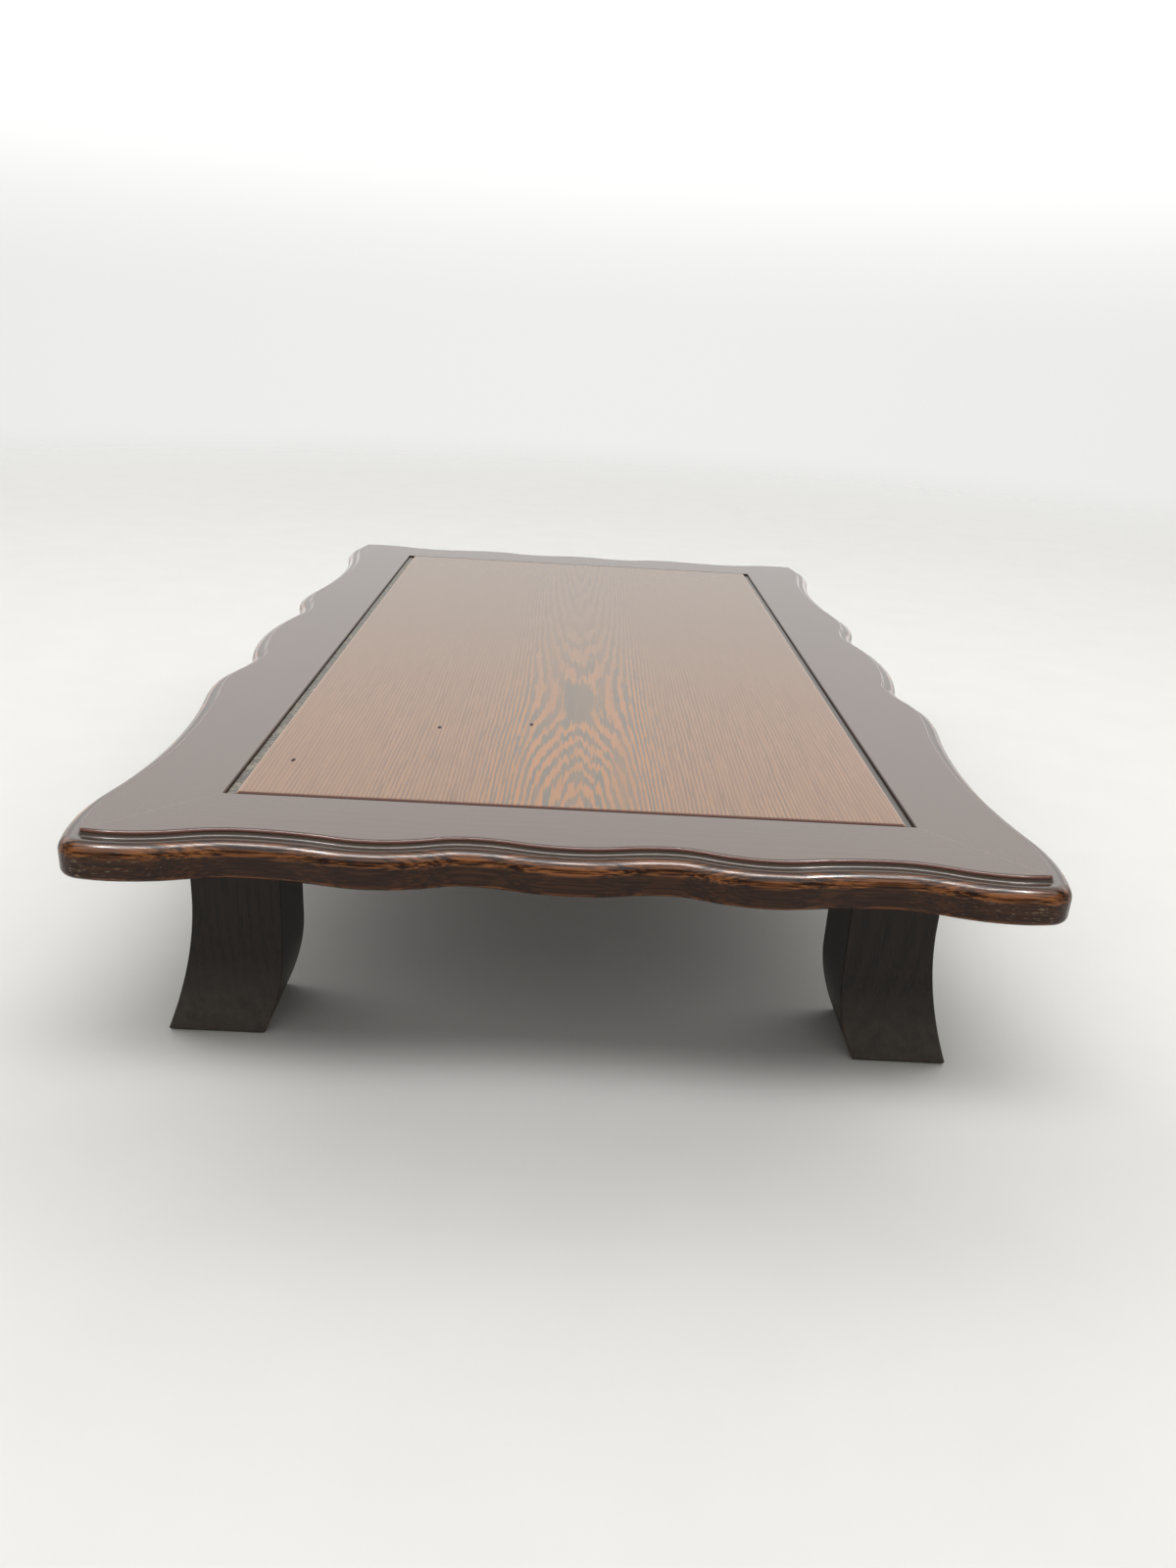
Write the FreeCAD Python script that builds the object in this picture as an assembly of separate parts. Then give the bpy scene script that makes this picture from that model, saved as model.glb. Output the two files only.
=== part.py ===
import FreeCAD, Part
import math
import os
from FreeCAD import Vector

# Low display table: a mitred frame with a wave-cut, moulded edge round a flush centre board,
# on four legs that flare at the foot. Millimetres, +Z up. The origin is on the floor under the
# middle of the table, the long way runs along Y, and the front is the end at negative Y.

# Overall sizes
TABLE_LENGTH = 600.0  # along Y, over the moulded edge at the shoulders of the waves
TABLE_WIDTH = 375.8  # along X, over the moulded edge at the middle of a long side
TABLE_HEIGHT = 96.8
FRAME_THICKNESS = 17.0
LONG_RAIL_WIDTH = 51.5  # from the widest point of the edge to the opening
END_RAIL_WIDTH = 48.1

# Moulded edge, from the top arris outwards and down
ARRIS_RADIUS = 1.3  # small rounding where the flat top ends
COVE_RADIUS = 1.4  # hollow below it
STEP_WIDTH = 1.1  # narrow flat at the foot of the hollow
ROUNDOVER_RADIUS = 5.3  # large rounding down to the upright face
BOTTOM_RADIUS = 2.6

# Waves of the arris on an end: how far each point is set in from the line of the shoulders
END_MIDDLE_CREST_SET_IN = 5.1
END_INNER_DIP_FROM_MIDDLE = 37.3
END_INNER_DIP_SET_IN = 9.3
END_CREST_FROM_MIDDLE = 75.0
END_CREST_SET_IN = 2.7
END_OUTER_DIP_FROM_SIDE = 59.6
END_OUTER_DIP_SET_IN = 7.4
END_SHOULDER_FROM_SIDE = 13.6

# Waves of the arris on a long side: set in from the middle crest, which stands out furthest
SIDE_INNER_DIP_FROM_MIDDLE = 54.3
SIDE_INNER_DIP_SET_IN = 7.9
SIDE_CREST_FROM_MIDDLE = 98.6
SIDE_CREST_SET_IN = 0.6
SIDE_OUTER_DIP_FROM_END = 99.2
SIDE_OUTER_DIP_SET_IN = 9.0
SIDE_SHOULDER_FROM_END = 21.5
SIDE_SHOULDER_SET_IN = 0.7

# Corners of the arris: a gentle bend in from each shoulder, and a small rounding where they meet
END_BEND_RADIUS = 50.0
SIDE_BEND_RADIUS = 80.0
CORNER_RADIUS = 1.2

# Share of each flank's bend that lies on its crest, the rest lies in its dip
END_MIDDLE_CREST_SHARE = 0.52
END_CREST_INNER_SHARE = 0.64
END_CREST_OUTER_SHARE = 0.23
END_SHOULDER_SHARE = 0.52
SIDE_MIDDLE_CREST_SHARE = 0.86
SIDE_CREST_INNER_SHARE = 0.40
SIDE_CREST_OUTER_SHARE = 0.20
SIDE_SHOULDER_SHARE = 0.23

# Centre board and the ledge that carries it
FACE_THICKNESS = 1.5
CORE_THICKNESS = 5.5
LEDGE_WIDTH = 12.0
CORE_CLEARANCE = 0.3  # core board to the walls of the opening
SIDE_GAP = 4.1  # shadow gap beside the face board
FACE_SHIFT = 0.4  # the face board lies this far right of the middle
END_GAP = 0.6
FACE_EDGE_RADIUS = 0.5
OPENING_CHAMFER = 0.4

# Loose tongues in the mitres
SPLINE_THICKNESS = 4.0
SPLINE_WIDTH = 20.0  # across the mitre
SPLINE_LENGTH = 40.0  # along the mitre
SPLINE_SET_BACK = 12.0  # from the corner of the opening
SPLINE_END_CLEARANCE = 0.5

# Legs
LEG_WIDTH = 35.5
LEG_PAST_OPENING_SIDE = 12.3  # outer face of a leg, outside the opening, along X
LEG_PAST_OPENING_END = 10.0  # the same along Y
OUTER_FLARE_RADIUS = 171.0
OUTER_FLARE_HEIGHT = 57.9  # from the floor
INNER_FLARE_RADIUS = 71.3
INNER_FLARE_HEIGHT = 30.9
LEG_EDGE_RADIUS = 0.7

# Cross battens under the core board
BATTEN_WIDTH = 32.0
BATTEN_SPACING = 150.0
BATTEN_THICKNESS = 8.0
BATTEN_LAP_LENGTH = 22.0  # each end reaches this far under a long rail
BATTEN_LAP_THICKNESS = 4.0
BATTEN_CLEARANCE = 0.2  # beside and beyond a batten's end, in its notch
BATTEN_CHAMFER = 1.0

# Screws and pins
LEG_SCREW_DIAMETER = 3.5
LEG_SCREW_HEAD_DIAMETER = 7.0
LEG_SCREW_LENGTH = 40.0
BATTEN_SCREW_DIAMETER = 3.0
BATTEN_SCREW_HEAD_DIAMETER = 6.0
BATTEN_SCREW_LENGTH = 12.0
BATTEN_SCREW_FROM_END = 5.0
SCREW_CLEARANCE = 0.05
PIN_DIAMETER = 1.4
PIN_HEAD_DIAMETER = 2.6
PIN_LENGTH = 12.0
PIN_FROM_MIDDLE = 60.0  # along an end

# Levels and half sizes that follow from these
HALF_LENGTH = TABLE_LENGTH / 2
HALF_WIDTH = TABLE_WIDTH / 2
OPENING_X = HALF_WIDTH - LONG_RAIL_WIDTH
OPENING_Y = HALF_LENGTH - END_RAIL_WIDTH
LEDGE_X = OPENING_X - LEDGE_WIDTH
LEDGE_Y = OPENING_Y - LEDGE_WIDTH
TOP = TABLE_HEIGHT
UNDERSIDE = TOP - FRAME_THICKNESS
CORE_TOP = TOP - FACE_THICKNESS
LEDGE_TOP = CORE_TOP - CORE_THICKNESS
MOULDING_REACH = ARRIS_RADIUS + COVE_RADIUS + STEP_WIDTH + ROUNDOVER_RADIUS
ARRIS_X = HALF_WIDTH - MOULDING_REACH
ARRIS_Y = HALF_LENGTH - MOULDING_REACH
LEG_X = OPENING_X + LEG_PAST_OPENING_SIDE
LEG_Y = OPENING_Y + LEG_PAST_OPENING_END
SIGNS = {"left": -1, "right": 1, "front": -1, "back": 1}
CORNERS = [(end, side) for end in ("front", "back") for side in ("left", "right")]
BATTEN_PLACES = {"front": -BATTEN_SPACING, "middle": 0.0, "back": BATTEN_SPACING}


def box(low_x, high_x, low_y, high_y, low_z, high_z):
    size = (high_x - low_x, high_y - low_y, high_z - low_z)
    return Part.makeBox(*size, Vector(low_x, low_y, low_z))


def mirrored(shape, sign_x, sign_y):
    """The shape of the right back quarter, brought to the quarter with these signs."""
    if sign_x < 0:
        shape = shape.mirror(Vector(0, 0, 0), Vector(1, 0, 0))
    if sign_y < 0:
        shape = shape.mirror(Vector(0, 0, 0), Vector(0, 1, 0))
    return shape


# Wave outline

def arc_from(point, direction, turn, radius, angle):
    """Middle and end of an arc that leaves point along the edge, as (along, set in) pairs."""
    reached = []
    for part_angle in (angle / 2, angle):
        along = point[0] + direction * radius * math.sin(part_angle)
        reached.append((along, point[1] + turn * radius * (1 - math.cos(part_angle))))
    return reached


def flank(start, finish, start_share):
    """Two tangent arcs between a crest and a dip, parallel to the edge at both."""
    run = finish[0] - start[0]
    rise = finish[1] - start[1]
    total_radius = (run ** 2 + rise ** 2) / (2 * abs(rise))
    angle = math.asin(run / total_radius)
    turn = math.copysign(1, rise)
    middle, joint = arc_from(start, 1, turn, total_radius * start_share, angle)
    last_middle, _ = arc_from(finish, -1, -turn, total_radius * (1 - start_share), angle)
    return [(start, middle, joint), (joint, last_middle, finish)]


def wave(points, crest_shares):
    """The arcs from the middle of an edge to its shoulder; points alternate crest and dip."""
    arcs = []
    for index, share in enumerate(crest_shares):
        start_share = share if index % 2 == 0 else 1 - share
        arcs += flank(points[index], points[index + 1], start_share)
    return arcs


def end_wave():
    points = [
        (0.0, END_MIDDLE_CREST_SET_IN),
        (END_INNER_DIP_FROM_MIDDLE, END_INNER_DIP_SET_IN),
        (END_CREST_FROM_MIDDLE, END_CREST_SET_IN),
        (ARRIS_X - END_OUTER_DIP_FROM_SIDE, END_OUTER_DIP_SET_IN),
        (ARRIS_X - END_SHOULDER_FROM_SIDE, 0.0),
    ]
    shares = (END_MIDDLE_CREST_SHARE, END_CREST_INNER_SHARE, END_CREST_OUTER_SHARE, END_SHOULDER_SHARE)
    return wave(points, shares)


def side_wave():
    points = [
        (0.0, 0.0),
        (SIDE_INNER_DIP_FROM_MIDDLE, SIDE_INNER_DIP_SET_IN),
        (SIDE_CREST_FROM_MIDDLE, SIDE_CREST_SET_IN),
        (ARRIS_Y - SIDE_OUTER_DIP_FROM_END, SIDE_OUTER_DIP_SET_IN),
        (ARRIS_Y - SIDE_SHOULDER_FROM_END, SIDE_SHOULDER_SET_IN),
    ]
    shares = (SIDE_MIDDLE_CREST_SHARE, SIDE_CREST_INNER_SHARE, SIDE_CREST_OUTER_SHARE, SIDE_SHOULDER_SHARE)
    return wave(points, shares)


def arc_about(centre, start, finish):
    """The shorter arc about centre from start to finish."""
    outwards = (start - centre) + (finish - centre)
    middle = centre + outwards * ((start - centre).Length / outwards.Length)
    return Part.Arc(start, middle, finish).toShape()


def outer_meeting(first_centre, first_radius, second_centre, second_radius):
    """Where two circles in plan meet, on the side away from the middle of the table."""
    across = second_centre - first_centre
    gap = across.Length
    along = (first_radius ** 2 - second_radius ** 2 + gap ** 2) / (2 * gap)
    height = math.sqrt(first_radius ** 2 - along ** 2)
    sideways = Vector(-across.y, across.x, 0)
    meetings = [first_centre + (across * along + sideways * sign * height) * (1 / gap) for sign in (-1, 1)]
    return max(meetings, key=lambda point: point.x + point.y)


def corner_edges():
    """The two gentle bends and the small arc between them at the right back corner of the arris."""
    end_shoulder = Vector(ARRIS_X - END_SHOULDER_FROM_SIDE, ARRIS_Y, TOP)
    side_shoulder = Vector(ARRIS_X - SIDE_SHOULDER_SET_IN, ARRIS_Y - SIDE_SHOULDER_FROM_END, TOP)
    end_centre = end_shoulder - Vector(0, END_BEND_RADIUS, 0)
    side_centre = side_shoulder - Vector(SIDE_BEND_RADIUS, 0, 0)
    end_reach = END_BEND_RADIUS - CORNER_RADIUS
    side_reach = SIDE_BEND_RADIUS - CORNER_RADIUS
    corner_centre = outer_meeting(end_centre, end_reach, side_centre, side_reach)
    end_touch = end_centre + (corner_centre - end_centre) * (END_BEND_RADIUS / end_reach)
    side_touch = side_centre + (corner_centre - side_centre) * (SIDE_BEND_RADIUS / side_reach)
    return [
        arc_about(end_centre, end_shoulder, end_touch),
        arc_about(corner_centre, end_touch, side_touch),
        arc_about(side_centre, side_touch, side_shoulder),
    ]


def arris_wire():
    """The edge of the flat top, all the way round."""
    quarter = []
    for arc in end_wave():
        quarter.append(Part.Arc(*[Vector(s, ARRIS_Y - h, TOP) for s, h in arc]).toShape())
    for arc in side_wave():
        quarter.append(Part.Arc(*[Vector(ARRIS_X - h, s, TOP) for s, h in arc]).toShape())
    quarter += corner_edges()
    edges = []
    for end, side in CORNERS:
        edges += [mirrored(edge, SIGNS[side], SIGNS[end]) for edge in quarter]
    return Part.Wire(Part.__sortEdges__(edges))


# Frame

def moulding_wire():
    """The section of the moulded edge, drawn at the middle of the back end."""
    arris_y = ARRIS_Y - END_MIDDLE_CREST_SET_IN

    def place(reach, height):
        return Vector(0, arris_y + reach, height)

    cove_z = TOP - ARRIS_RADIUS
    step_z = cove_z - COVE_RADIUS
    step_start = ARRIS_RADIUS + COVE_RADIUS
    step_end = step_start + STEP_WIDTH
    face_top = step_z - ROUNDOVER_RADIUS
    face_bottom = UNDERSIDE + BOTTOM_RADIUS
    base = MOULDING_REACH - BOTTOM_RADIUS
    return Part.Wire([
        arc_about(place(0, cove_z), place(0, TOP), place(ARRIS_RADIUS, cove_z)),
        arc_about(place(step_start, cove_z), place(ARRIS_RADIUS, cove_z), place(step_start, step_z)),
        Part.LineSegment(place(step_start, step_z), place(step_end, step_z)).toShape(),
        arc_about(place(step_end, face_top), place(step_end, step_z), place(MOULDING_REACH, face_top)),
        Part.LineSegment(place(MOULDING_REACH, face_top), place(MOULDING_REACH, face_bottom)).toShape(),
        arc_about(place(base, face_bottom), place(MOULDING_REACH, face_bottom), place(base, UNDERSIDE)),
    ])


def moulded_slab():
    """The whole top as one moulded slab, before the opening is cut."""
    path = arris_wire()
    edge_shell = path.makePipeShell([moulding_wire()], False, False)
    base_edges = [e for e in edge_shell.Edges if abs(e.BoundBox.ZMax - UNDERSIDE) < 1e-4]
    base = Part.Face(Part.Wire(Part.__sortEdges__(base_edges)))
    top = Part.Face(path)
    shell = Part.makeShell(edge_shell.Faces + [top, base])
    shell.sewShape()
    slab = Part.makeSolid(shell)
    if slab.Volume < 0:
        slab.reverse()
    return slab


def opening_cut():
    """The opening, wide down to the ledge and narrower below it."""
    upper = box(-OPENING_X, OPENING_X, -OPENING_Y, OPENING_Y, LEDGE_TOP, TOP)
    lower = box(-LEDGE_X, LEDGE_X, -LEDGE_Y, LEDGE_Y, UNDERSIDE, LEDGE_TOP)
    return [upper, lower]


def eased_opening(frame):
    """The frame with the top edge of its opening chamfered."""
    edges = []
    for edge in frame.Edges:
        limits = edge.BoundBox
        on_top = abs(limits.ZMin - TOP) < 1e-6
        inside = max(abs(limits.XMin), abs(limits.XMax)) < OPENING_X + 1e-6
        inside = inside and max(abs(limits.YMin), abs(limits.YMax)) < OPENING_Y + 1e-6
        if on_top and inside:
            edges.append(edge)
    return frame.makeChamfer(OPENING_CHAMFER, edges)


def spline_block(sign_x, sign_y, clearance):
    """A loose tongue across one mitre; with a clearance, the pocket that it lies in."""
    half_width = SPLINE_WIDTH / 2 + clearance
    middle_z = UNDERSIDE + FRAME_THICKNESS / 2
    low_z = middle_z - SPLINE_THICKNESS / 2
    start = SPLINE_SET_BACK - clearance
    finish = SPLINE_SET_BACK + SPLINE_LENGTH + clearance
    block = box(start, finish, -half_width, half_width, low_z, low_z + SPLINE_THICKNESS)
    block.rotate(Vector(0, 0, 0), Vector(0, 0, 1), 45)
    block.translate(Vector(OPENING_X, OPENING_Y, 0))
    return mirrored(block, sign_x, sign_y)


def rail_region(start, finish, outwards):
    """A prism between two mitres, which spreads at 45 degrees from one inner edge of the ledge."""
    reach = TABLE_LENGTH + TABLE_WIDTH
    along = (finish - start).normalize()
    corners = [start, finish, finish + (outwards + along) * reach, start + (outwards - along) * reach]
    outline = Part.makePolygon(corners + corners[:1])
    return Part.Face(outline).extrude(Vector(0, 0, FRAME_THICKNESS))


def rail_regions():
    """The four regions that the mitres cut the frame into, by the name of the rail."""
    regions = {}
    for side in ("left", "right"):
        x = SIGNS[side] * LEDGE_X
        edge = (Vector(x, -LEDGE_Y, UNDERSIDE), Vector(x, LEDGE_Y, UNDERSIDE))
        regions["long_rail_" + side] = rail_region(*edge, Vector(SIGNS[side], 0, 0))
    for end in ("front", "back"):
        y = SIGNS[end] * LEDGE_Y
        edge = (Vector(-LEDGE_X, y, UNDERSIDE), Vector(LEDGE_X, y, UNDERSIDE))
        regions["end_rail_" + end] = rail_region(*edge, Vector(0, SIGNS[end], 0))
    return regions


def rails():
    frame = moulded_slab().cut(opening_cut())
    frame = eased_opening(frame)
    cutters = [spline_block(SIGNS[s], SIGNS[e], SPLINE_END_CLEARANCE) for e, s in CORNERS]
    cutters += leg_screws(SCREW_CLEARANCE) + batten_screws(SCREW_CLEARANCE) + core_pins(SCREW_CLEARANCE)
    cutters += batten_notches()
    frame = frame.cut(cutters)
    return {name: frame.common(region).Solids[0] for name, region in rail_regions().items()}


# Centre board

def panel_core():
    half_x = OPENING_X - CORE_CLEARANCE
    half_y = OPENING_Y - CORE_CLEARANCE
    board = box(-half_x, half_x, -half_y, half_y, LEDGE_TOP, CORE_TOP)
    return board.cut(core_pins(SCREW_CLEARANCE))


def panel_face():
    half_x = OPENING_X - SIDE_GAP
    half_y = OPENING_Y - END_GAP
    board = box(FACE_SHIFT - half_x, FACE_SHIFT + half_x, -half_y, half_y, CORE_TOP, TOP)
    top_edges = [edge for edge in board.Edges if abs(edge.BoundBox.ZMin - TOP) < 1e-6]
    return board.makeFillet(FACE_EDGE_RADIUS, top_edges)


# Cross battens

def batten_levels():
    """Bottom of a batten and top of its lapped ends."""
    bottom = LEDGE_TOP - BATTEN_THICKNESS
    return bottom, bottom + BATTEN_LAP_THICKNESS


def cross_batten(middle_y):
    bottom, lap_top = batten_levels()
    low_y = middle_y - BATTEN_WIDTH / 2
    high_y = middle_y + BATTEN_WIDTH / 2
    lap_x = LEDGE_X + BATTEN_LAP_LENGTH
    body_x = LEDGE_X - BATTEN_CLEARANCE
    lap = box(-lap_x, lap_x, low_y, high_y, bottom, lap_top)
    long_edges = [e for e in lap.Edges if e.Length > BATTEN_WIDTH and e.BoundBox.ZMax < lap_top]
    lap = lap.makeChamfer(BATTEN_CHAMFER, long_edges)
    batten = lap.fuse(box(-body_x, body_x, low_y, high_y, lap_top, LEDGE_TOP)).removeSplitter()
    return batten.cut(batten_screws(SCREW_CLEARANCE)).Solids[0]


def batten_notches():
    """Pockets in the undersides of the long rails for the lapped ends."""
    lap_top = batten_levels()[1]
    half_width = BATTEN_WIDTH / 2 + BATTEN_CLEARANCE
    end_x = LEDGE_X + BATTEN_LAP_LENGTH + BATTEN_CLEARANCE
    notches = []
    for middle_y in BATTEN_PLACES.values():
        low_y = middle_y - half_width
        high_y = middle_y + half_width
        notch = box(LEDGE_X, end_x, low_y, high_y, UNDERSIDE, lap_top)
        notches += [notch, mirrored(notch, -1, 1)]
    return notches


# Legs

def flare(top_reach, radius, height):
    """Start, middle and end of the arc that carries one face out to the floor."""
    angle = math.asin(height / radius)
    points = []
    for part_angle in (0.0, angle / 2, angle):
        reach = top_reach + radius * (1 - math.cos(part_angle))
        points.append((reach, height - radius * math.sin(part_angle)))
    return points


def leg_outline(place):
    """The closed outline of a leg seen square to one face; place turns (reach, height) to a point."""
    outer = [place(*point) for point in flare(0.0, OUTER_FLARE_RADIUS, OUTER_FLARE_HEIGHT)]
    inner = [place(*point) for point in flare(-LEG_WIDTH, INNER_FLARE_RADIUS, INNER_FLARE_HEIGHT)]
    outer_top = place(0.0, UNDERSIDE)
    inner_top = place(-LEG_WIDTH, UNDERSIDE)
    edges = [
        Part.LineSegment(inner_top, outer_top),
        Part.LineSegment(outer_top, outer[0]),
        Part.Arc(*outer),
        Part.LineSegment(outer[2], inner[2]),
        Part.Arc(*inner),
        Part.LineSegment(inner[0], inner_top),
    ]
    return Part.Face(Part.Wire(Part.__sortEdges__([edge.toShape() for edge in edges])))


def leg_blank():
    """The right back leg: the same outline seen from the side and from the end."""
    start_x = LEG_X - 2 * LEG_WIDTH
    start_y = LEG_Y - 2 * LEG_WIDTH
    across = leg_outline(lambda reach, height: Vector(LEG_X + reach, start_y, height))
    along = leg_outline(lambda reach, height: Vector(start_x, LEG_Y + reach, height))
    blank = across.extrude(Vector(0, 4 * LEG_WIDTH, 0)).common(along.extrude(Vector(4 * LEG_WIDTH, 0, 0)))
    edges = [edge for edge in blank.Edges if edge.BoundBox.ZMin < UNDERSIDE - 1e-6]
    return blank.makeFillet(LEG_EDGE_RADIUS, edges)


def legs():
    holes = leg_screws(SCREW_CLEARANCE)
    blank = leg_blank()
    made = {}
    for end, side in CORNERS:
        leg = mirrored(blank, SIGNS[side], SIGNS[end])
        made["leg_" + end + "_" + side] = leg.cut(holes).Solids[0]
    return made


# Screws and pins

def fastener(diameter, head_diameter, length, clearance):
    """A pointed, countersunk fastener under the origin; with a clearance, the hole that it fills."""
    radius = diameter / 2 + clearance
    head_radius = head_diameter / 2
    depth = length + clearance
    points = [
        Vector(0, 0, 0),
        Vector(head_radius, 0, 0),
        Vector(radius, 0, radius - head_radius),
        Vector(radius, 0, diameter - depth),
        Vector(0, 0, -depth),
    ]
    section = Part.Face(Part.makePolygon(points + points[:1]))
    return section.revolve(Vector(0, 0, 0), Vector(0, 0, 1), 360)


def leg_screws(clearance):
    """Two screws down into each leg, one through a long rail's ledge and one through an end rail's."""
    screw = fastener(LEG_SCREW_DIAMETER, LEG_SCREW_HEAD_DIAMETER, LEG_SCREW_LENGTH, clearance)
    ledge_x = OPENING_X - LEDGE_WIDTH / 2
    ledge_y = OPENING_Y - LEDGE_WIDTH / 2
    in_leg_x = (LEG_X - LEG_WIDTH + ledge_x) / 2
    in_leg_y = (LEG_Y - LEG_WIDTH + ledge_y) / 2
    placed = []
    for end, side in CORNERS:
        for x, y in ((ledge_x, in_leg_y), (in_leg_x, ledge_y)):
            placed.append(screw.translated(Vector(SIGNS[side] * x, SIGNS[end] * y, LEDGE_TOP)))
    return placed


def batten_screws(clearance):
    """A screw up through each lapped end of the battens into the long rails."""
    screw = fastener(BATTEN_SCREW_DIAMETER, BATTEN_SCREW_HEAD_DIAMETER, BATTEN_SCREW_LENGTH, clearance)
    screw.rotate(Vector(0, 0, 0), Vector(1, 0, 0), 180)
    x = LEDGE_X + BATTEN_LAP_LENGTH - BATTEN_SCREW_FROM_END
    bottom = batten_levels()[0]
    places = [(sign * x, y) for y in BATTEN_PLACES.values() for sign in (-1, 1)]
    return [screw.translated(Vector(x, y, bottom)) for x, y in places]


def core_pins(clearance):
    """Pins down through the core board into the ledge, between the battens and along the ends."""
    pin = fastener(PIN_DIAMETER, PIN_HEAD_DIAMETER, PIN_LENGTH, clearance)
    ledge_x = OPENING_X - LEDGE_WIDTH / 2
    ledge_y = OPENING_Y - LEDGE_WIDTH / 2
    placed = []
    for end, side in CORNERS:
        for x, y in ((ledge_x, BATTEN_SPACING / 2), (PIN_FROM_MIDDLE, ledge_y)):
            placed.append(pin.translated(Vector(SIGNS[side] * x, SIGNS[end] * y, CORE_TOP)))
    return placed


def pieces():
    """Every piece of the table by its name."""
    made = rails()
    made["panel_core"] = panel_core()
    made["panel_face"] = panel_face()
    for end, side in CORNERS:
        made["mitre_spline_" + end + "_" + side] = spline_block(SIGNS[side], SIGNS[end], 0.0)
    for place, middle_y in BATTEN_PLACES.items():
        made["cross_batten_" + place] = cross_batten(middle_y)
    made.update(legs())
    made["leg_screws"] = Part.makeCompound(leg_screws(0.0))
    made["batten_screws"] = Part.makeCompound(batten_screws(0.0))
    made["core_pins"] = Part.makeCompound(core_pins(0.0))
    return made


os.makedirs("parts", exist_ok=True)
for name, shape in pieces().items():
    shape.exportStep(os.path.join("parts", name + ".step"))
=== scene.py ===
"""Looks of the low display table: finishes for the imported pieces, studio light and camera."""

import logging
import math
from dataclasses import dataclass
from enum import Enum
from typing import Any, NamedTuple

import bpy
from bpy.types import Material, Node, NodeSocket, NodeTree
from mathutils import Matrix, Vector

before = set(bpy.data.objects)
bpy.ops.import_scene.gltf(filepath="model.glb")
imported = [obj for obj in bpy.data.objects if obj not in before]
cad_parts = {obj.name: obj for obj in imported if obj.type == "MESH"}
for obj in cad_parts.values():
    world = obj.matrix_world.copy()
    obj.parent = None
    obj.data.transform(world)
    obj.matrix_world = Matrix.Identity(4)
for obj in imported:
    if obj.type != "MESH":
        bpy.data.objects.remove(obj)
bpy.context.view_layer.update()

LOG = logging.getLogger("low_display_table")
MM_PER_METRE = 1000.0
SKIN = 0.1  # a point this near to a flat face, in millimetres, lies on it
NOISE_MIDDLE = 0.5  # noise lies about this value, and reaches half a unit to each side

# Kinds of node that come often
MATH = "ShaderNodeMath"
VECTOR_MATH = "ShaderNodeVectorMath"
MAP_RANGE = "ShaderNodeMapRange"
MIX = "ShaderNodeMix"
SEPARATE = "ShaderNodeSeparateXYZ"
NOISE = "ShaderNodeTexNoise"

# Settings that they share
ABSOLUTE = {"operation": "ABSOLUTE"}
ADD = {"operation": "ADD"}
GREATER_THAN = {"operation": "GREATER_THAN"}
LENGTH = {"operation": "LENGTH"}
LESS_THAN = {"operation": "LESS_THAN"}
MAXIMUM = {"operation": "MAXIMUM"}
MULTIPLY = {"operation": "MULTIPLY"}
MULTIPLY_ADD = {"operation": "MULTIPLY_ADD"}
POWER = {"operation": "POWER"}
SMOOTH_MAX = {"operation": "SMOOTH_MAX"}
SUBTRACT = {"operation": "SUBTRACT"}
SMOOTH = {"interpolation_type": "SMOOTHSTEP"}
COLOURS = {"data_type": "RGBA"}
VALUES = {"data_type": "FLOAT"}

# Sockets of a Mix node
COLOUR_A, COLOUR_B, COLOUR_OUT = 6, 7, 2
VALUE_A, VALUE_B = 2, 3


class GrainAxis(Enum):
    """The way that the grain of a piece runs."""

    ACROSS = "X"
    ALONG = "Y"
    UP = "Z"

    @property
    def index(self) -> int:
        """Give the axis as a place in a vector."""
        return "XYZ".index(self.value)


class Ramp(NamedTuple):
    """A change from one value to another, between two places."""

    start: float
    finish: float
    first: float = 0.0
    last: float = 1.0

    def links(self, place: NodeSocket) -> dict[str, Any]:
        """Give the inputs of the Map Range node that draws it."""
        return {"Value": place, "From Min": self.start, "From Max": self.finish, "To Min": self.first,
                "To Max": self.last}


class Speckle(NamedTuple):
    """Noise, by the size of its largest marks in millimetres."""

    size: float
    detail: float
    roughness: float = 0.5

    def links(self, place: NodeSocket) -> dict[str, Any]:
        """Give the inputs of the Noise node that draws it."""
        return {"Vector": place, "Scale": 1 / self.size, "Detail": self.detail, "Roughness": self.roughness}


class Relief(NamedTuple):
    """A raised pattern, by its height in millimetres."""

    height: float
    strength: float

    def links(self, pattern: NodeSocket) -> dict[str, Any]:
        """Give the inputs of the Bump node that raises the pattern."""
        return {"Height": pattern, "Strength": self.strength, "Distance": self.height / MM_PER_METRE}


def linear(hex_colour: str) -> tuple[float, float, float, float]:
    """Turn an sRGB hex colour to linear light.

    Args:
        hex_colour: a colour such as "#8A5226".

    Returns:
        Red, green, blue and an alpha of 1.
    """
    # The numbers are those of the sRGB curve
    channels = [int(hex_colour[start:start + 2], 16) / 255 for start in (1, 3, 5)]
    red, green, blue = [c / 12.92 if c <= 0.04045 else ((c + 0.055) / 1.055) ** 2.4 for c in channels]
    return red, green, blue, 1.0


def add_node(tree: NodeTree, kind: str, settings: dict[str, Any] | None = None,
             links: dict[Any, Any] | None = None) -> Node:
    """Add a node with its settings and links.

    Args:
        tree: the node tree.
        kind: the node's type name.
        settings: attributes of the node.
        links: by input name or number, another node's output or a plain value.

    Returns:
        The new node.
    """
    node = tree.nodes.new(kind)
    for name, value in (settings or {}).items():
        setattr(node, name, value)
    for socket, value in (links or {}).items():
        if isinstance(value, NodeSocket):
            tree.links.new(value, node.inputs[socket])
        else:
            node.inputs[socket].default_value = value
    return node


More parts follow.
